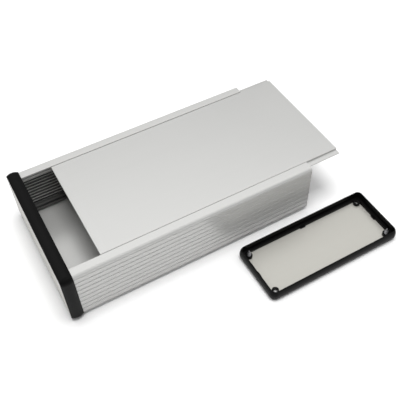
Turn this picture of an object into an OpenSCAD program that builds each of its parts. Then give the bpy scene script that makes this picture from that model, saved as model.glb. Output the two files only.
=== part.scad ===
// Extruded aluminium instrument enclosure with a slide cover and moulded end frames.
// One end is closed by its cap. The other cap lies beside the case, inside upwards,
// and the cover is drawn part of the way out over the open end.
//
// Frame: +X along the extrusion towards its open end, +Y to the back, +Z up.
// The origin is the centre of the extrusion's flat underside.

/* [Body extrusion] */
// Width over the side walls
body_w = 120; // [100:1:150]
// Height from the underside to the top strips
body_h = 48.5; // [46:0.5:60]
// Length of the extrusion
body_len = 214; // [160:1:260]
// Thickness of the floor
floor_t = 2; // [1.5:0.1:3]
// Thickness of a side wall between its outer face and its inner ribs
wall_t = 2.2; // [2:0.1:3]
// Radius of the two long top corners
top_r = 2.8; // [2:0.1:4]
// Radius of the two long bottom corners
bottom_r = 1.8; // [1:0.1:2.5]

/* [Side grooves and card ribs] */
// Number of grooves in each outer side
groove_count = 10; // [4:1:10]
// Distance between neighbouring grooves
groove_pitch = 4.83; // [4.5:0.01:5]
// Height of the lowest groove
groove_z0 = 2.2; // [2.2:0.1:3]
// Radius of a groove's round bottom
groove_r = 0.8; // [0.7:0.1:1.2]
// Depth of a groove
groove_depth = 0.45; // [0.25:0.05:0.6]
// Number of card ribs on each inner side
rib_count = 10; // [4:1:10]
// Distance between neighbouring card ribs
rib_pitch = 3.44; // [3.2:0.01:3.6]
// Height of the lowest card rib
rib_z0 = 7.7; // [7.5:0.1:8.5]
// Thickness of a card rib
rib_t = 1.2; // [0.8:0.1:1.4]
// How far a card rib stands in from the wall
rib_h = 1; // [0.6:0.1:1.2]

/* [Cover groove] */
// Width of each top strip, from the side of the body
strip_w = 8.8; // [8:0.1:12]
// Thickness of each top strip
strip_t = 1.8; // [1.4:0.1:2]
// Height of the groove that the cover's tongue runs in
slot_h = 1.2; // [1.1:0.1:1.4]
// Wall left between the side of the body and the groove
slot_wall = 4.5; // [4:0.1:5]
// Thickness of the ledge under the groove
ledge_t = 1.2; // [1:0.1:1.6]

/* [Screw channels] */
// Distance of each screw axis from the two nearest sides
screw_inset = 4.9; // [4.9:0.1:5.2]
// Radius of the open channel that the screw cuts into
channel_r = 1.4; // [1.3:0.05:1.45]
// Outer radius of the channel's wall
channel_wall_r = 3.1; // [2.8:0.1:3.2]
// Width of the slit along each channel
channel_slit = 1.6; // [1:0.1:1.7]
// Radius of the channel where the fitted cap's screws have cut their thread
cut_r = 1.7; // [1.6:0.05:1.75]

/* [Slide cover] */
// How far the cover is drawn out from its closed place
cover_out = 31; // [0:1:180]
// Thickness of the cover's plate
cover_t = 2; // [1.9:0.1:2.4]
// Gap between the cover's plate and each top strip
cover_gap = 0.35; // [0.2:0.05:0.6]
// Gap above, below and beyond the tongue in its groove
tongue_gap = 0.1; // [0.05:0.01:0.15]
// Width of the foot that carries the tongue, from the side of the body
foot_w = 13; // [11:0.5:18]
// Gap between the closed cover and the end frame's seat
cover_stop = 0.2; // [0.1:0.1:0.5]

/* [End caps] */
// Depth of an end frame
cap_depth = 10; // [9:0.5:14]
// How far an end frame's rim stands out from the body
rim_out = 0.8; // [0.6:0.1:1.2]
// How far the crowned outside bulges beyond the rim
crown = 1.4; // [0.8:0.1:2]
// Corner radius of an end frame at its rim
cap_r = 4; // [3.6:0.1:5]
// Gap between the body and the frame that it plugs into
seat_gap = 0.1; // [0.05:0.05:0.2]
// Depth from the outer face to the seat of the extrusion
seat_depth = 4; // [3.5:0.5:5]
// Width of the ledge around the window
window_inset = 2.2; // [1.8:0.1:2.6]
// Radius of each corner boss
boss_r = 2.9; // [2.7:0.1:3.1]
// Radius of the screw hole in each boss
hole_r = 1.8; // [1.75:0.05:1.9]
// Length of the small tab in the middle of each side of the window
tab_len = 5; // [3:0.5:8]
// How far a tab stands in from the window's side
tab_out = 0.9; // [0.5:0.1:1.4]
// Thickness of an end panel
panel_t = 1.5; // [1.2:0.1:2]
// How far the end panel's edge lies inside the body's outline
panel_inset = 0.5; // [0.3:0.1:0.8]
// Corner radius of an end panel
panel_r = 3; // [2:0.1:3.2]

/* [Screws] */
// Overall length of a countersunk screw
screw_len = 9.5; // [8:0.5:16]
// Radius of the screw's core
core_r = 1.38; // [1.2:0.01:1.39]
// Radius of the screw's head
head_r = 3.2; // [3:0.1:3.25]
// Length of the screw's conical point
point_len = 3; // [1:0.5:4]

/* [Loose end cap] */
// Place of the loose cap's centre along the body
loose_x = 91.4; // [40:0.1:140]
// Place of the loose cap's centre in front of the body
loose_y = -98.1; // [-140:0.1:-95]

/* [Hidden] */
$fn = 64;
eps = 0.02;
half_w = body_w / 2;
// The end plane of the extrusion that carries the fitted cap
left_end = -body_len / 2;
// Top face of the ledge
slot_z0 = body_h - strip_t - slot_h;
// The lowest point of the crowned end frames, which the case stands on
ground_z = -(rim_out + crown);
// Underside of the ledge
ledge_z0 = slot_z0 - ledge_t;
// Half widths of the cover's plate, tongue and foot
cover_half = half_w - strip_w - cover_gap;
tongue_half = half_w - slot_wall - 3 * tongue_gap;
foot_half = half_w - foot_w;
// How far the thread's cut runs on past the end of a fitted screw
cut_run_out = 1;
// Height of a tab on an end frame's window
tab_h = 1.2;
// Size of the cross recess in a screw's head
recess_w = 0.8;
recess_l = 3.6;
recess_d = 1;
// Radius of the arc that crowns an end frame's outside
crown_arc_r = (pow(cap_depth / 2, 2) + pow(crown, 2)) / (2 * crown);

// ---- shared outlines: x is across the case, y is up from its underside ----

// What is taken off the square corner at (x, y) to round it; sx and sy point outwards
module corner_cut(x, y, sx, sy, r) {
    difference() {
        translate([x - sx * r / 2, y - sy * r / 2]) square(r + eps, center = true);
        translate([x - sx * r, y - sy * r]) circle(r);
    }
}

// The outline of the extrusion, made larger by grow on every side
module body_outline(grow = 0) {
    edge = half_w + grow;
    difference() {
        translate([-edge, -grow]) square([2 * edge, body_h + 2 * grow]);
        for (side = [-1, 1]) {
            corner_cut(side * edge, -grow, side, -1, bottom_r + grow);
            corner_cut(side * edge, body_h + grow, side, 1, top_r + grow);
        }
    }
}

// A rectangle with round corners that lies inside the body's outline by inset
module inner_outline(inset, r) {
    w = body_w - 2 * inset;
    h = body_h - 2 * inset;
    translate([0, body_h / 2]) {
        square([w - 2 * r, h], center = true);
        square([w, h - 2 * r], center = true);
        for (sx = [-1, 1], sy = [-1, 1])
            translate([sx * (w / 2 - r), sy * (h / 2 - r)]) circle(r);
    }
}

// A shape on the right and its mirror image on the left
module both_sides() {
    children();
    mirror([1, 0]) children();
}

// Place of each screw axis: 0 and 1 are the two lower ones, 2 and 3 the two upper ones
function screw_axis(i) = [
    (i % 2 == 0 ? -1 : 1) * (half_w - screw_inset),
    i < 2 ? screw_inset : body_h - screw_inset
];

// Extrudes an outline along +X from x0
module along_x(x0, len) {
    translate([x0, 0, 0]) rotate([90, 0, 90]) linear_extrude(len) children();
}

// ---- body extrusion ----

// The hollow of the case, and its mouth between the top strips
module hollow() {
    translate([-half_w + wall_t, floor_t]) square([body_w - 2 * wall_t, ledge_z0 - floor_t]);
    translate([-half_w + strip_w, floor_t]) square([body_w - 2 * strip_w, body_h]);
}

// Walls of the right side's screw channels, and its card ribs with round tips
module side_features() {
    for (i = [1, 3]) translate(screw_axis(i)) circle(channel_wall_r);
    for (i = [0:rib_count - 1])
        translate([half_w - wall_t - rib_h + rib_t / 2, rib_z0 + i * rib_pitch]) {
            circle(rib_t / 2);
            translate([0, -rib_t / 2]) square([rib_h, rib_t]);
        }
}

// What is taken out of the right side: tongue groove, screw channels and outer grooves
module side_cuts() {
    translate([half_w - strip_w - eps, slot_z0]) square([strip_w - slot_wall + eps, slot_h]);
    for (i = [1, 3]) translate(screw_axis(i)) {
        circle(channel_r);
        rotate(i == 1 ? 135 : -135) translate([0, -channel_slit / 2])
            square([channel_wall_r + 1, channel_slit]);
    }
    for (i = [0:groove_count - 1])
        translate([half_w + groove_r - groove_depth, groove_z0 + i * groove_pitch]) circle(groove_r);
}

module body_section() {
    difference() {
        union() {
            difference() {
                body_outline();
                hollow();
            }
            both_sides() side_features();
        }
        both_sides() side_cuts();
    }
}

module enclosure_body() {
    color([0.80, 0.80, 0.79]) difference() {
        along_x(left_end, body_len) body_section();
        for (i = [0:3]) fitted() translate(screw_axis(i)) translate([0, 0, seat_depth - eps])
            cylinder(r = cut_r, h = screw_len - seat_depth + cut_run_out);
    }
}

// ---- slide cover: a plate flush with the strips, on a foot with a tongue along each side ----

// Section of the cover: everything between its two feet is only the plate
module cover_section() {
    difference() {
        union() {
            translate([-cover_half, body_h - cover_t]) square([2 * cover_half, cover_t]);
            translate([-tongue_half, slot_z0 + tongue_gap])
                square([2 * tongue_half, slot_h - 2 * tongue_gap]);
        }
        translate([-foot_half, 0]) square([2 * foot_half, body_h - cover_t]);
    }
}

module slide_cover() {
    color([0.84, 0.84, 0.83])
        along_x(left_end + cover_stop + cover_out, body_len - cover_stop) cover_section();
}

// ---- end caps: x is across, y is up, z is depth from the outer face into the case ----

// Section through a crowned block: half is its half width at the rim
module crowned_section(half) {
    translate([-half, 0]) square([2 * half, cap_depth]);
    both_sides() intersection() {
        translate([half + crown - crown_arc_r, cap_depth / 2]) circle(crown_arc_r, $fn = 128);
        translate([half - eps, 0]) square([crown + 1, cap_depth]);
    }
}

// A block whose four sides are crowned and whose four corners are round
module crowned_block() {
    straight_w = body_w + 2 * (rim_out - cap_r);
    straight_h = body_h + 2 * (rim_out - cap_r);
    translate([0, body_h / 2, 0]) {
        rotate([90, 0, 0]) translate([0, 0, -straight_h / 2])
            linear_extrude(straight_h) crowned_section(half_w + rim_out);
        rotate([90, 0, 90]) translate([0, 0, -straight_w / 2])
            linear_extrude(straight_w) crowned_section(body_h / 2 + rim_out);
        for (sx = [-1, 1], sy = [-1, 1])
            translate([sx * straight_w / 2, sy * straight_h / 2, 0]) rotate_extrude() intersection() {
                crowned_section(cap_r);
                square([cap_r + crown + 1, cap_depth]);
            }
    }
}

// The window through which the end panel is seen, with a boss left in each corner
module window_outline() {
    difference() {
        inner_outline(window_inset, 1);
        for (i = [0:3]) translate(screw_axis(i)) circle(boss_r);
    }
}

// The moulded frame: rim, seat for the extrusion, bosses, window and recess for the panel
module end_frame() {
    color([0.10, 0.10, 0.10]) {
        difference() {
            crowned_block();
            translate([0, 0, seat_depth]) linear_extrude(cap_depth) body_outline(seat_gap);
            translate([0, 0, -eps]) linear_extrude(seat_depth + 2 * eps) window_outline();
            translate([0, 0, -eps]) linear_extrude(panel_t + eps)
                inner_outline(panel_inset - seat_gap, panel_r + seat_gap);
            for (i = [0:3]) translate(screw_axis(i)) translate([0, 0, -eps])
                cylinder(r = hole_r, h = seat_depth + 2 * eps);
        }
        window_tabs();
    }
}

// A small tab in the middle of each side of the window
module window_tabs() {
    for (side = [-1, 1]) {
        translate([side * (half_w - window_inset), body_h / 2, panel_t + tab_h / 2])
            cube([2 * tab_out, tab_len, tab_h], center = true);
        translate([0, body_h / 2 + side * (body_h / 2 - window_inset), panel_t + tab_h / 2])
            cube([tab_len, 2 * tab_out, tab_h], center = true);
    }
}

// Flat aluminium panel with four countersunk holes
module end_panel() {
    color([0.83, 0.82, 0.79]) difference() {
        linear_extrude(panel_t) inner_outline(panel_inset, panel_r);
        for (i = [0:3]) translate(screw_axis(i)) translate([0, 0, -eps])
            cylinder(r1 = hole_r + panel_t + eps, r2 = hole_r - eps, h = panel_t + 2 * eps);
    }
}

// Countersunk screw with a cross recess, at axis i, its head flush with the outer face
module end_screw(i) {
    color([0.66, 0.66, 0.68]) translate(screw_axis(i)) difference() {
        rotate_extrude() polygon([
            [0, 0], [head_r, 0], [core_r, head_r - core_r],
            [core_r, screw_len - point_len], [0, screw_len]
        ]);
        for (a = [0, 90]) rotate(a) translate([0, 0, recess_d / 2 - eps])
            cube([recess_l, recess_w, recess_d], center = true);
    }
}

// Puts a cap's piece in its fitted place on the left end of the body
module fitted() {
    translate([left_end - seat_depth, 0, 0]) rotate([90, 0, 90]) children();
}

// Puts a cap's piece in the loose cap, which lies on its outer face in front of the case
module loose() {
    translate([loose_x, loose_y - body_h / 2, ground_z]) children();
}

module left_bezel() { fitted() end_frame(); }
module left_end_panel() { fitted() end_panel(); }
module left_screw(i) { fitted() end_screw(i); }
module right_bezel() { loose() end_frame(); }
module right_end_panel() { loose() end_panel(); }
module right_screw(i) { loose() end_screw(i); }

enclosure_body();
slide_cover();
left_bezel();
left_end_panel();
left_screw(0);  // left_screw_1
left_screw(1);  // left_screw_2
left_screw(2);  // left_screw_3
left_screw(3);  // left_screw_4
right_bezel();
right_end_panel();
right_screw(1);  // right_screw_1
right_screw(2);  // right_screw_2
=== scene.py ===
"""Dresses the extruded aluminium enclosure: finishes, broken edges, threaded screws and a stage.

Run it as a script. Each operator makes one kind of piece, and the panel in the sidebar lists them.
Everything is in metres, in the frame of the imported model.
"""

import math

import bmesh
import bpy
from bpy.props import FloatProperty, FloatVectorProperty, IntProperty, PointerProperty
from mathutils import Matrix, Vector


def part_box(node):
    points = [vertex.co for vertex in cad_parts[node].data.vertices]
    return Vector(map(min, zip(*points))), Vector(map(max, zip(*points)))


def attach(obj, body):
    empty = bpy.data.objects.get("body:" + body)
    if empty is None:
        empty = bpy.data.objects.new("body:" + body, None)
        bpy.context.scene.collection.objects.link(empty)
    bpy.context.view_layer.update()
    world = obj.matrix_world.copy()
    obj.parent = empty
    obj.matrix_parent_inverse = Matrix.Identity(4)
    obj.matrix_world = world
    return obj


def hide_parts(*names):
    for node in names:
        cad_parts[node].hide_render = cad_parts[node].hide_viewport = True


bl_info = {
    "name": "Extruded Enclosure",
    "version": (1, 0, 0),
    "blender": (4, 5, 0),
    "location": "View3D > Sidebar > Enclosure",
    "description": "Dresses an extruded instrument case, its slide cover and its end caps",
    "category": "Object",
}

MM = 0.001
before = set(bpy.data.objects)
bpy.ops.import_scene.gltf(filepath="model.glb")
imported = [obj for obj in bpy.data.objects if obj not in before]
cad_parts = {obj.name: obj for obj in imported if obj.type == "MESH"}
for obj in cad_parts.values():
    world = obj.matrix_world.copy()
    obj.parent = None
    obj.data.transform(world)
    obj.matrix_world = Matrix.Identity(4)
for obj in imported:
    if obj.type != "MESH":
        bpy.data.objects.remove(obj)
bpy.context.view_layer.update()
ENCLOSURE = "enclosure"
COVER = "cover"
FITTED_SCREWS = ("left_screw_1", "left_screw_2", "left_screw_3", "left_screw_4")
LOOSE_SCREWS = ("right_screw_1", "right_screw_2")
GROUND_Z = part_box("right_end_panel")[0].z

# Brightness of the studio against the sine of the height above the horizon: a pale horizon, dim
# walls, and a broad bright ring high up around a dimmer middle
SKY_STOPS = (
    (0.0, 0.42), (0.12, 0.3), (0.3, 0.17), (0.54, 0.15),
    (0.63, 0.22), (0.7, 0.36), (0.8, 0.78), (0.86, 0.68), (1.0, 0.22),
)
# The same light against the direction, from opposite KEY_DIRECTION at 0 to along it at 1: the near
# left half of the studio is dimmer
KEY_DIRECTION = (0.47, 0.88, 0.0)
KEY_STOPS = ((0.2, 0.48), (0.42, 0.68), (0.6, 1.0))
# Painted shade: the metal between the card ribs and on the screw channel below them is painted
# darker, standing in for the shadow and dark reflection that fall there inside the case. Its reach
# across the case and its height, and its painted shade as a part of the extrusion's colour
PAINTED_SHADE_ZONES = (
    ((57.1 * MM, 59 * MM), (6 * MM, 45 * MM)),
    ((51.5 * MM, 57.1 * MM), (2.1 * MM, 8.2 * MM)),
)
PAINTED_SHADE_LEVEL = 0.25

# Stage: half the floor's width, the lamp's width and place, and the camera's fixed settings. The
# shift is small, and in parts of the frame's width
FLOOR_HALF = 4.0
LAMP_WIDTH = 0.7
LAMP_PLACE = (0.0, -0.1, 1.8)
SENSOR_WIDTH = 36
SHIFT_X = -0.0154
SHIFT_Y = 0.0003
CLIP_START = 10 * MM


# ---------------------------------------------------------------- settings


class FinishSettings(bpy.types.PropertyGroup):
    """Colours and roughness of the finishes."""

    metal: FloatVectorProperty(
        name="Extrusion", description="Colour of the anodised extrusion",
        subtype="COLOR", size=3, min=0, max=1, default=(0.56, 0.56, 0.547),
    )
    cover: FloatVectorProperty(
        name="Cover", description="Colour of the anodised slide cover",
        subtype="COLOR", size=3, min=0, max=1, default=(0.555, 0.555, 0.543),
    )
    panel: FloatVectorProperty(
        name="End panel", description="Colour of the flat end panels",
        subtype="COLOR", size=3, min=0, max=1, default=(0.455, 0.446, 0.41),
    )
    moulding: FloatVectorProperty(
        name="End frame", description="Colour of the moulded end frames",
        subtype="COLOR", size=3, min=0, max=1, default=(0.004, 0.004, 0.004),
    )
    zinc: FloatVectorProperty(
        name="Screws", description="Colour of the zinc plated screws",
        subtype="COLOR", size=3, min=0, max=1, default=(0.58, 0.58, 0.60),
    )
    metal_roughness: FloatProperty(
        name="Metal roughness", description="Mean roughness of the anodised metal",
        min=0.1, max=1, default=0.3, subtype="FACTOR",
    )
    moulding_roughness: FloatProperty(
        name="Moulding roughness", description="Mean roughness of the moulded frames",
        min=0.1, max=1, default=0.36, subtype="FACTOR",
    )


class EdgeSettings(bpy.types.PropertyGroup):
    """How far the sharp edges are broken."""

    metal: FloatProperty(
        name="Metal edges", description="Width of the broken edge on the metal pieces",
        min=0.02 * MM, max=0.3 * MM, default=0.12 * MM, unit="LENGTH",
    )
    cover: FloatProperty(
        name="Cover edges", description="Width of the broken edge on the slide cover",
        min=0.02 * MM, max=0.45 * MM, default=0.4 * MM, unit="LENGTH",
    )
    moulding: FloatProperty(
        name="Moulded edges", description="Width of the round edge on the moulded frames",
        min=0.02 * MM, max=0.3 * MM, default=0.18 * MM, unit="LENGTH",
    )


class ScrewSettings(bpy.types.PropertyGroup):
    """The self-tapping screws."""

    core: FloatProperty(
        name="Core radius", description="Radius of the core between the threads",
        min=1 * MM, max=1.39 * MM, default=1.3 * MM, unit="LENGTH",
    )
    thread: FloatProperty(
        name="Thread radius", description="Radius over the thread's crest",
        min=1.4 * MM, max=1.79 * MM, default=1.78 * MM, unit="LENGTH",
    )
    pitch: FloatProperty(
        name="Pitch", description="Distance between neighbouring crests",
        min=0.8 * MM, max=1.6 * MM, default=1.3 * MM, unit="LENGTH",
    )
    recess: FloatProperty(
        name="Recess", description="Half length of an arm of the cross recess",
        min=1 * MM, max=2.2 * MM, default=1.8 * MM, unit="LENGTH",
    )
    segments: IntProperty(
        name="Segments", description="Faces around a screw", min=16, max=96, default=48,
    )


class StageSettings(bpy.types.PropertyGroup):
    """Floor, light and camera."""

    floor: FloatVectorProperty(
        name="Floor", description="Colour of the floor",
        subtype="COLOR", size=3, min=0, max=1, default=(0.97, 0.97, 0.97),
    )
    sky: FloatProperty(
        name="Sky", description="What the studio's light is multiplied by",
        min=0, max=4, default=2.4,
    )
    softbox: FloatProperty(
        name="Softbox", description="Power of the large lamp overhead, in watts",
        min=0, max=50, default=18.5,
    )
    lens: FloatProperty(
        name="Lens", description="Focal length on a sensor 36 mm wide", min=20, max=150, default=57,
    )
    azimuth: FloatProperty(
        name="Azimuth", description="Direction of the camera from the case, 0 is straight in front",
        default=math.radians(-28.3), subtype="ANGLE",
    )
    elevation: FloatProperty(
        name="Elevation", description="Height of the camera above the horizon",
        default=math.radians(49.88), subtype="ANGLE",
    )
    roll: FloatProperty(
        name="Roll", description="Tilt of the camera about its own axis",
        default=math.radians(-1.74), subtype="ANGLE",
    )
    distance: FloatProperty(
        name="Distance", description="Distance of the camera from the point it is aimed at",
        default=524.3 * MM, unit="LENGTH",
    )
    aim: FloatVectorProperty(
        name="Aim", description="The point that the camera is aimed at",
        subtype="XYZ", size=3, unit="LENGTH", default=(25.8 * MM, -27.5 * MM, 25 * MM),
    )


# ---------------------------------------------------------------- shader maths


class Field:
    """A number or vector that varies over a surface. Arithmetic on it adds Math nodes."""

    def __init__(self, finish, socket):
        self.finish = finish
        self.socket = socket

    def _math(self, operation, *values):
        return self.finish.node("ShaderNodeMath", {"operation": operation}, *values)

    def __add__(self, other):
        return self._math("ADD", self, other)

    def __radd__(self, other):
        return self._math("ADD", other, self)

    def __sub__(self, other):
        return self._math("SUBTRACT", self, other)

    def __rsub__(self, other):
        return self._math("SUBTRACT", other, self)

    def __mul__(self, other):
        return self._math("MULTIPLY", self, other)

    def __rmul__(self, other):
        return self._math("MULTIPLY", other, self)

    def __abs__(self):
        return self._math("ABSOLUTE", self)

    def above(self, limit):
        """1 where the field is above the limit, otherwise 0."""
        return self._math("GREATER_THAN", self, limit)


class Nodes:
    """A node tree, and the methods that add to it."""

    def __init__(self, tree):
        self.tree = tree

    def feed(self, node, values):
        """Sets or links a node's sockets. Keys are socket names, with _ for a space, or numbers."""
        for key, value in values.items():
            name = key.replace("_", " ") if isinstance(key, str) else key
            socket = node.inputs[name]
            if isinstance(value, Field):
                self.tree.links.new(value.socket, socket)
            else:
                socket.default_value = value

    def node(self, kind, settings=None, *values, output=0, sockets=None, **named):
        """Adds a node, applies its settings, then its sockets' values or links."""
        node = self.tree.nodes.new(kind)
        for key, value in (settings or {}).items():
            if key == "stops":
                self.set_stops(node.color_ramp, value)
            else:
                setattr(node, key, value)
        self.feed(node, {**dict(enumerate(values)), **(sockets or {}), **named})
        return Field(self, node.outputs[output])

    @staticmethod
    def set_stops(ramp, stops):
        """Sets a ramp's stops from (position, grey level) pairs."""
        while len(ramp.elements) < len(stops):
            ramp.elements.new(1)
        for element, (position, level) in zip(ramp.elements, stops):
            element.position = position
            element.color = (level, level, level, 1)


class Finish(Nodes):
    """A node material with one Principled shader."""

    def __init__(self, name, **constants):
        self.material = bpy.data.materials.new(name)
        self.material.use_nodes = True
        super().__init__(self.material.node_tree)
        self.shader = self.tree.nodes["Principled BSDF"]
        self.feed(self.shader, constants)

    def place(self, stretch):
        """The object's own coordinates, scaled by a different amount along each axis."""
        coords = self.node("ShaderNodeTexCoord", output="Object")
        return self.node("ShaderNodeVectorMath", {"operation": "MULTIPLY"}, coords, stretch)

    def between(self, axis, low, high):
        """1 where the size of one of the object's coordinates lies between two values, else 0."""
        coords = self.node("ShaderNodeTexCoord", output="Object")
        size = abs(self.node("ShaderNodeSeparateXYZ", None, coords, output=axis))
        return size.above(low) * (1 - size.above(high))

    def facing(self, axis):
        """One component of the surface's own normal."""
        normal = self.node("ShaderNodeTexCoord", output="Normal")
        return self.node("ShaderNodeSeparateXYZ", None, normal, output=axis)

    def noise(self, stretch, detail=2.0, rough=0.5):
        """Noise from 0 to 1, whose stretch is its waves in a metre along each axis."""
        return self.node(
            "ShaderNodeTexNoise", {"noise_dimensions": "3D"},
            Vector=self.place(stretch), Scale=1.0, Detail=detail, Roughness=rough,
        )

    def tint(self, colour, other, factor):
        """A colour that goes from colour to other as factor goes from 0 to 1."""
        first, second = (
            item if isinstance(item, Field) else (*item, 1) for item in (colour, other)
        )
        mixed = {"Factor": factor, 6: first, 7: second}
        return self.node("ShaderNodeMix", {"data_type": "RGBA"}, output=2, sockets=mixed)

    def shades(self, colour, ends, factor):
        """One colour that goes from its darkest to its lightest shade with factor."""
        darkest, lightest = ends
        return self.tint(scaled(colour, darkest), scaled(colour, lightest), factor)

    def bump(self, height, depth, strength):
        """A normal bent by a height field, where height 1 stands depth above height 0."""
        return self.node("ShaderNodeBump", Strength=strength, Distance=depth, Height=height)


def scaled(colour, factor):
    """A colour made darker or lighter."""
    return tuple(min(1.0, channel * factor) for channel in colour)


def swing(noise, amount):
    """A noise from 0 to 1 as a change around 0 that is the amount from end to end."""
    return (noise - 0.5) * amount


# ---------------------------------------------------------------- finishes

# Waves in a metre along X, Y and Z
DRAWN_LINES = (12, 3200, 3200)
DRAWN_BANDS = (5, 260, 260)
ANODISED_CLOUDS = (14, 14, 14)
SAW_LINES = (60, 900, 3000)
MOULDED_GRAIN = (2600, 2600, 2600)
MOULDED_CLOUDS = (40, 40, 40)
ZINC_CLOUDS = (700, 700, 700)
# Depth and strength of each relief
LINE_RELIEF = (0.003 * MM, 0.35)
GRAIN_RELIEF = (0.012 * MM, 0.6)
ZINC_RELIEF = (0.01 * MM, 0.3)
# The darkest and the lightest shade of each colour
ANODISED_SHADES = (0.93, 1.07)
MOULDED_SHADES = (0.8, 1.3)
ZINC_SHADES = (0.85, 1.1)
# How much the anodised metal's shade and roughness change with its lines, bands and clouds
LINE_SHADE, BAND_SHADE, CLOUD_SHADE = 0.25, 0.12, 0.3
LINE_ROUGHNESS, CLOUD_ROUGHNESS, SAWN_ROUGHNESS = 0.08, 0.05, 0.06
# The same for the mouldings' roughness with grain and clouds, and the zinc's mean and change
GRAIN_ROUGHNESS, MOULDED_CLOUD_ROUGHNESS = 0.2, 0.08
ZINC_ROUGHNESS, ZINC_CLOUD_ROUGHNESS = 0.33, 0.2
# How metallic each anodised piece is under its film
BODY_METALLIC, COVER_METALLIC, PANEL_METALLIC = 0.3, 0.5, 0.2
MOULDED_IOR, MOULDED_SPECULAR = 1.5, 0.08
PAPER_ROUGHNESS = 0.9
# A face is a saw-cut end where its normal lies along X by more than this
SAWN_FACING = 0.9


def anodised_finish(name, colour, roughness, metallic, paint_shade=False):
    """Satin clear anodising over drawn metal: fine lines along X, broader bands, saw-cut ends."""
    finish = Finish(name, Metallic=metallic)
    fine = finish.noise(DRAWN_LINES, detail=3.0, rough=0.6)
    broad = finish.noise(DRAWN_BANDS)
    cloud = finish.noise(ANODISED_CLOUDS, detail=3.0)
    sawn = abs(finish.facing("X")).above(SAWN_FACING)
    saw_lines = finish.noise(SAW_LINES)
    lines = fine * (1 - sawn) + saw_lines * sawn
    shade = swing(lines, LINE_SHADE) + swing(broad, BAND_SHADE) + swing(cloud, CLOUD_SHADE) + 0.5
    metal = finish.shades(colour, ANODISED_SHADES, shade)
    # Painted shade: darkens the base colour between the card ribs and on the screw channel, where
    # shadow falls inside the case. The sawn ends are left out
    if paint_shade:
        for wall, height in PAINTED_SHADE_ZONES:
            shade_mask = finish.between("Y", *wall) * finish.between("Z", *height)
            metal = finish.tint(metal, scaled(colour, PAINTED_SHADE_LEVEL), shade_mask * (1 - sawn))
    finish.feed(finish.shader, {
        "Base Color": metal,
        "Roughness": (
            swing(lines, LINE_ROUGHNESS) + swing(cloud, CLOUD_ROUGHNESS)
            + sawn * SAWN_ROUGHNESS + roughness
        ),
        "Normal": finish.bump(lines, *LINE_RELIEF),
    })
    return finish.material


def moulded_finish(name, colour, roughness):
    """Black moulded plastic with a fine eroded texture."""
    finish = Finish(name, Metallic=0.0, IOR=MOULDED_IOR, Specular_IOR_Level=MOULDED_SPECULAR)
    grain = finish.noise(MOULDED_GRAIN, detail=3.0, rough=0.65)
    cloud = finish.noise(MOULDED_CLOUDS)
    finish.feed(finish.shader, {
        "Base Color": finish.shades(colour, MOULDED_SHADES, cloud),
        "Roughness": (
            swing(grain, GRAIN_ROUGHNESS) + swing(cloud, MOULDED_CLOUD_ROUGHNESS) + roughness
        ),
        "Normal": finish.bump(grain, *GRAIN_RELIEF),
    })
    return finish.material


def zinc_finish(name, colour):
    """Bright zinc plating, slightly cloudy."""
    finish = Finish(name, Metallic=1.0)
    cloud = finish.noise(ZINC_CLOUDS, detail=3.0)
    finish.feed(finish.shader, {
        "Base Color": finish.shades(colour, ZINC_SHADES, cloud),
        "Roughness": swing(cloud, ZINC_CLOUD_ROUGHNESS) + ZINC_ROUGHNESS,
        "Normal": finish.bump(cloud, *ZINC_RELIEF),
    })
    return finish.material


def floor_finish(name, colour):
    """Plain matt paper."""
    return Finish(
        name, Roughness=PAPER_ROUGHNESS, Specular_IOR_Level=0.0, Base_Color=(*colour, 1),
    ).material


# ---------------------------------------------------------------- meshes

# Shading that a CAD node's mesh brings along, which doesn't fit its joined faces
NODE_SHADING = ("custom_normal", "sharp_edge", "sharp_face")
# Points closer than this are one point, and faces closer in angle than this are one face
SAME_POINT = 0.0005 * MM
SAME_PLANE = math.radians(0.2)
# Edges sharper than this are broken, in this many faces
SHARP_CORNER = math.radians(40)
EDGE_FACES = 2
# Weight of a face's area in the shading of its corners, where 100 leaves flat faces flat
AREA_WEIGHT = 100


def add_piece(name, mesh, material, body, replaced):
    """Links a mesh as a piece that rides on a body and stands for CAD nodes."""
    piece = bpy.data.objects.new(name, mesh)
    bpy.context.scene.collection.objects.link(piece)
    piece.data.materials.clear()
    piece.data.materials.append(material)
    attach(piece, body)
    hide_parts(*replaced)
    return piece


def flat_faced_copy(node):
    """A CAD node's mesh as whole faces: its triangles are joined wherever they lie in one plane."""
    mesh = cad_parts[node].data.copy()
    for layer in [item for item in mesh.attributes if item.name in NODE_SHADING]:
        mesh.attributes.remove(layer)
    shape = bmesh.new()
    shape.from_mesh(mesh)
    bmesh.ops.remove_doubles(shape, verts=shape.verts, dist=SAME_POINT)
    bmesh.ops.dissolve_limit(
        shape, angle_limit=SAME_PLANE, verts=shape.verts, edges=shape.edges,
    )
    for face in shape.faces:
        face.smooth = True
    shape.to_mesh(mesh)
    shape.free()
    return mesh


def dress_node(node, name, material, body, width):
    """Stands a piece with broken edges in for a CAD node of the same form."""
    piece = add_piece(name, flat_faced_copy(node), material, body, [node])
    bevel = piece.modifiers.new("broken edges", "BEVEL")
    bevel.width = width
    bevel.segments = EDGE_FACES
    bevel.limit_method = "ANGLE"
    bevel.angle_limit = SHARP_CORNER
    bevel.use_clamp_overlap = True
    shading = piece.modifiers.new("flat faces stay flat", "WEIGHTED_NORMAL")
    shading.mode = "FACE_AREA"
    shading.weight = AREA_WEIGHT
    return piece


# ---------------------------------------------------------------- screws

# Height of the straight edge of the head, as a part of the head's radius
LAND = 0.05
# The head's rounded rim: how far each ring lies inside the head's radius and below its face, in
# heights of the straight edge
RIM = ((2.2, 0), (1.5, 0.2), (1.2, 1))
# Height of the thread over one pitch, from 0 at the core to 1 at the crest
RIDGE = (0, 0, 0.45, 1, 0.45, 0)
# Turns over which the thread rises from the core, and over which it narrows to the point
FADE_TURNS = 1.0
POINT_TURNS = 2.4
# Size of the tip, as a part of the shank's
TIP = 0.16
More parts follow.
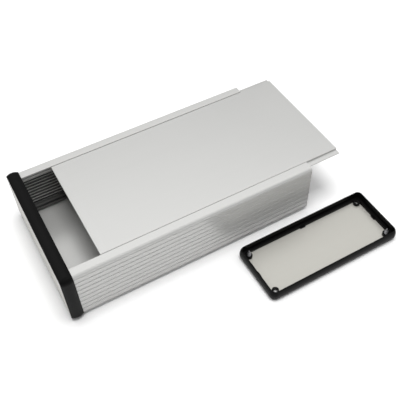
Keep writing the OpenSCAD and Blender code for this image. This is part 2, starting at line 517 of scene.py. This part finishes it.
# A part of a turn that keeps a row on its own side of a corner of the thread
NUDGE = 0.001
# Half width of an arm of the recess at the head's face, and the recess's depth
ARM = 0.42 * MM
RECESS_DEPTH = 1.7 * MM
# Length and width of an arm at the bottom of the recess, as parts of those at the face
ARM_LENGTH_BELOW = 0.45
ARM_WIDTH_BELOW = 0.7
# How far the cutter stands out of the face
CUTTER_PROUD = 0.1 * MM
# Points of a screw closer than this are one point
SCREW_POINT = 0.002 * MM
# Edges of a screw sharper than this stay sharp
SCREW_CREASE = math.radians(35)


def thread_rise(turns):
    """Height of the thread, from 0 to 1, at a number of turns past its root."""
    place = (turns % 1) * len(RIDGE)
    low = int(place)
    rest = place - low
    return RIDGE[low % len(RIDGE)] * (1 - rest) + RIDGE[(low + 1) % len(RIDGE)] * rest


def thread_rows(settings, start, end):
    """Rings of a threaded shank from start to end, whose rows climb with the thread."""
    step = settings.pitch / len(RIDGE)
    count = math.ceil((end - start) / step) + len(RIDGE)
    rows = []
    for i in range(count + 1):
        row = []
        for j in range(settings.segments + 1):
            turn = j / settings.segments
            z = start + (i - len(RIDGE)) * step + turn * settings.pitch
            z = min(max(z, start), end)
            fade = min(1, (z - start) / (FADE_TURNS * settings.pitch))
            rise = thread_rise((z - start) / settings.pitch - turn + NUDGE)
            ridge = rise * fade * (settings.thread - settings.core)
            narrow = min(1, (end - z) / (POINT_TURNS * settings.pitch))
            radius = (settings.core + ridge) * (TIP + (1 - TIP) * narrow)
            angle = turn * math.tau
            row.append(Vector((radius * math.cos(angle), radius * math.sin(angle), z)))
        rows.append(row)
    return rows


def ring(radius, z, segments):
    """A ring of points that closes on itself."""
    angles = [math.tau * j / segments for j in range(segments + 1)]
    return [Vector((radius * math.cos(a), radius * math.sin(a), z)) for a in angles]


def screw_blank(settings, head_r, length):
    """A countersunk screw with its head's face at z = 0, its point at z = length, and no recess."""
    neck = head_r - settings.core
    edge = LAND * head_r
    rows = [
        *(ring(head_r - inside * edge, below * edge, settings.segments) for inside, below in RIM),
        ring(settings.core, neck, settings.segments),
        *thread_rows(settings, neck, length),
    ]
    shape = bmesh.new()
    grid = [[shape.verts.new(point) for point in row] for row in rows]
    for low, high in zip(grid, grid[1:]):
        for j in range(settings.segments):
            shape.faces.new((low[j], low[j + 1], high[j + 1], high[j]))
    shape.faces.new(reversed(grid[0][:-1]))
    shape.faces.new(grid[-1][:-1])
    bmesh.ops.remove_doubles(shape, verts=shape.verts, dist=SCREW_POINT)
    bmesh.ops.dissolve_degenerate(shape, dist=SCREW_POINT, edges=shape.edges)
    bmesh.ops.recalc_face_normals(shape, faces=shape.faces)
    return shape


def recess_cutter(arm):
    """A tapered cross that cuts a screw's recess."""
    shape = bmesh.new()
    for turn in (0, math.pi / 2):
        box = bmesh.ops.create_cube(shape, size=1)["verts"]
        for vert in box:
            deep = vert.co.z > 0
            vert.co.x *= 2 * arm * (ARM_LENGTH_BELOW if deep else 1)
            vert.co.y *= 2 * ARM * (ARM_WIDTH_BELOW if deep else 1)
            vert.co.z = RECESS_DEPTH if deep else -CUTTER_PROUD
        bmesh.ops.rotate(shape, cent=(0, 0, 0), matrix=Matrix.Rotation(turn, 3, "Z"), verts=box)
    return shape


def as_object(name, shape):
    """Turns a bmesh into an object that is not yet in the scene."""
    mesh = bpy.data.meshes.new(name)
    shape.to_mesh(mesh)
    shape.free()
    return bpy.data.objects.new(name, mesh)


def screw_mesh(settings, head_r, length):
    """The finished screw, with its recess cut and its sides smooth."""
    blank = as_object("screw blank", screw_blank(settings, head_r, length))
    cutter = as_object("recess cutter", recess_cutter(settings.recess))
    for item in (blank, cutter):
        bpy.context.scene.collection.objects.link(item)
    cut = blank.modifiers.new("recess", "BOOLEAN")
    cut.operation = "DIFFERENCE"
    cut.solver = "EXACT"
    cut.use_self = True
    cut.object = cutter
    graph = bpy.context.evaluated_depsgraph_get()
    mesh = bpy.data.meshes.new_from_object(blank.evaluated_get(graph))
    for item in (blank, cutter):
        bpy.data.objects.remove(item)
    mesh.shade_smooth()
    mesh.set_sharp_from_angle(angle=SCREW_CREASE)
    return mesh


def screw_place(node, axis):
    """Where a screw sits: its head's face at the low end of its box along the axis."""
    low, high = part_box(node)
    centre = (low + high) / 2
    centre[axis] = low[axis]
    turn = Matrix.Rotation(math.pi / 2, 4, "Y") if axis == 0 else Matrix.Identity(4)
    return Matrix.Translation(centre) @ turn


# ---------------------------------------------------------------- operators


class ENCLOSURE_OT_dress_body(bpy.types.Operator):
    """Finish the extrusion and the slide cover"""

    bl_idname = "enclosure.dress_body"
    bl_label = "Body and cover"

    def execute(self, context):
        look = context.scene.enclosure_finish
        edges = context.scene.enclosure_edges
        # The extrusion gets painted shade between its card ribs and on its screw channel
        body = anodised_finish(
            "anodised extrusion", look.metal, look.metal_roughness, BODY_METALLIC, paint_shade=True,
        )
        cover = anodised_finish(
            "anodised cover", look.cover, look.metal_roughness, COVER_METALLIC,
        )
        dress_node("enclosure_body", "body_extrusion", body, ENCLOSURE, edges.metal)
        dress_node("slide_cover", "cover_plate", cover, COVER, edges.cover)
        return {"FINISHED"}


class ENCLOSURE_OT_dress_caps(bpy.types.Operator):
    """Finish the moulded end frames and their flat panels"""

    bl_idname = "enclosure.dress_caps"
    bl_label = "End caps"

    def execute(self, context):
        look = context.scene.enclosure_finish
        edges = context.scene.enclosure_edges
        frame = moulded_finish("black moulding", look.moulding, look.moulding_roughness)
        panel = anodised_finish(
            "anodised panel", look.panel, look.metal_roughness, PANEL_METALLIC,
        )
        for side in ("left", "right"):
            dress_node(
                f"{side}_bezel", f"{side}_end_frame", frame,
                ENCLOSURE, edges.moulding,
            )
            dress_node(
                f"{side}_end_panel", f"{side}_panel", panel, ENCLOSURE, edges.metal,
            )
        return {"FINISHED"}


class ENCLOSURE_OT_add_screws(bpy.types.Operator):
    """Make the threaded countersunk screws"""

    bl_idname = "enclosure.add_screws"
    bl_label = "Screws"

    def execute(self, context):
        settings = context.scene.enclosure_screws
        zinc = zinc_finish("zinc plating", context.scene.enclosure_finish.zinc)
        low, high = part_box(LOOSE_SCREWS[0])
        master = screw_mesh(settings, (high.x - low.x) / 2, high.z - low.z)
        for nodes, axis in ((FITTED_SCREWS, 0), (LOOSE_SCREWS, 2)):
            for node in nodes:
                mesh = master.copy()
                mesh.transform(screw_place(node, axis))
                add_piece(f"{node}_threaded", mesh, zinc, ENCLOSURE, [node])
        bpy.data.meshes.remove(master)
        return {"FINISHED"}


class ENCLOSURE_OT_build_stage(bpy.types.Operator):
    """Make the floor, the lights and the camera"""

    bl_idname = "enclosure.build_stage"
    bl_label = "Stage"

    def execute(self, context):
        stage = context.scene.enclosure_stage
        self.add_floor(context, stage)
        self.add_sky(context, stage)
        self.add_softbox(context, stage)
        self.add_camera(context, stage)
        context.scene.view_settings.view_transform = "Standard"
        return {"FINISHED"}

    def add_floor(self, context, stage):
        mesh = bpy.data.meshes.new("floor")
        corners = [
            (x * FLOOR_HALF, y * FLOOR_HALF, GROUND_Z)
            for x, y in ((-1, -1), (1, -1), (1, 1), (-1, 1))
        ]
        mesh.from_pydata(corners, [], [(0, 1, 2, 3)])
        floor = bpy.data.objects.new("floor", mesh)
        context.scene.collection.objects.link(floor)
        mesh.materials.append(floor_finish("white paper", stage.floor))

    def add_sky(self, context, stage):
        world = bpy.data.worlds.new("studio")
        world.use_nodes = True
        sky = Nodes(world.node_tree)
        direction = sky.node("ShaderNodeTexCoord", output="Generated")
        height = sky.node("ShaderNodeSeparateXYZ", None, direction, output="Z")
        level = sky.node("ShaderNodeValToRGB", {"stops": SKY_STOPS}, height)
        dot = {"operation": "DOT_PRODUCT"}
        across = sky.node("ShaderNodeVectorMath", dot, direction, KEY_DIRECTION, output="Value")
        key = sky.node("ShaderNodeValToRGB", {"stops": KEY_STOPS}, across * 0.5 + 0.5)
        background = world.node_tree.nodes["Background"]
        sky.feed(background, {"Color": (1, 1, 1, 1), "Strength": level * key * stage.sky})
        context.scene.world = world

    def add_softbox(self, context, stage):
        light = bpy.data.lights.new("softbox", "AREA")
        light.shape = "RECTANGLE"
        light.size = LAMP_WIDTH
        light.size_y = LAMP_WIDTH
        light.energy = stage.softbox
        lamp = bpy.data.objects.new("softbox", light)
        lamp.location = LAMP_PLACE
        lamp.visible_glossy = False
        context.scene.collection.objects.link(lamp)

    def add_camera(self, context, stage):
        azimuth, elevation, roll = stage.azimuth, stage.elevation, stage.roll
        back = Vector((
            math.sin(azimuth) * math.cos(elevation),
            -math.cos(azimuth) * math.cos(elevation),
            math.sin(elevation),
        ))
        level = Vector((0, 0, 1)).cross(back).normalized()
        upright = back.cross(level)
        right = math.cos(roll) * level + math.sin(roll) * upright
        up = math.cos(roll) * upright - math.sin(roll) * level
        data = bpy.data.cameras.new("camera")
        data.lens = stage.lens
        data.sensor_width = SENSOR_WIDTH
        data.shift_x = SHIFT_X
        data.shift_y = SHIFT_Y
        data.clip_start = CLIP_START
        camera = bpy.data.objects.new("camera", data)
        turn = Matrix((right, up, back)).transposed().to_4x4()
        camera.matrix_world = Matrix.Translation(Vector(stage.aim) + stage.distance * back) @ turn
        context.scene.collection.objects.link(camera)
        context.scene.camera = camera


class ENCLOSURE_PT_sidebar(bpy.types.Panel):
    """Lists the settings and the operators"""

    bl_idname = "ENCLOSURE_PT_sidebar"
    bl_label = "Extruded enclosure"
    bl_space_type = "VIEW_3D"
    bl_region_type = "UI"
    bl_category = "Enclosure"

    def draw(self, context):
        for group in SETTINGS:
            box = self.layout.box()
            for key in SETTINGS[group].__annotations__:
                box.prop(getattr(context.scene, group), key)
        for operator in OPERATORS:
            self.layout.operator(operator.bl_idname)


OPERATORS = (
    ENCLOSURE_OT_dress_body,
    ENCLOSURE_OT_dress_caps,
    ENCLOSURE_OT_add_screws,
    ENCLOSURE_OT_build_stage,
)
SETTINGS = {
    "enclosure_finish": FinishSettings,
    "enclosure_edges": EdgeSettings,
    "enclosure_screws": ScrewSettings,
    "enclosure_stage": StageSettings,
}
CLASSES = (*SETTINGS.values(), *OPERATORS, ENCLOSURE_PT_sidebar)


def register():
    for item in CLASSES:
        bpy.utils.register_class(item)
    for group, kind in SETTINGS.items():
        setattr(bpy.types.Scene, group, PointerProperty(type=kind))


def unregister():
    for group in SETTINGS:
        delattr(bpy.types.Scene, group)
    for item in reversed(CLASSES):
        bpy.utils.unregister_class(item)


def main():
    register()
    bpy.ops.enclosure.build_stage()
    bpy.ops.enclosure.dress_body()
    bpy.ops.enclosure.dress_caps()
    bpy.ops.enclosure.add_screws()


if __name__ == "__main__":
    main()
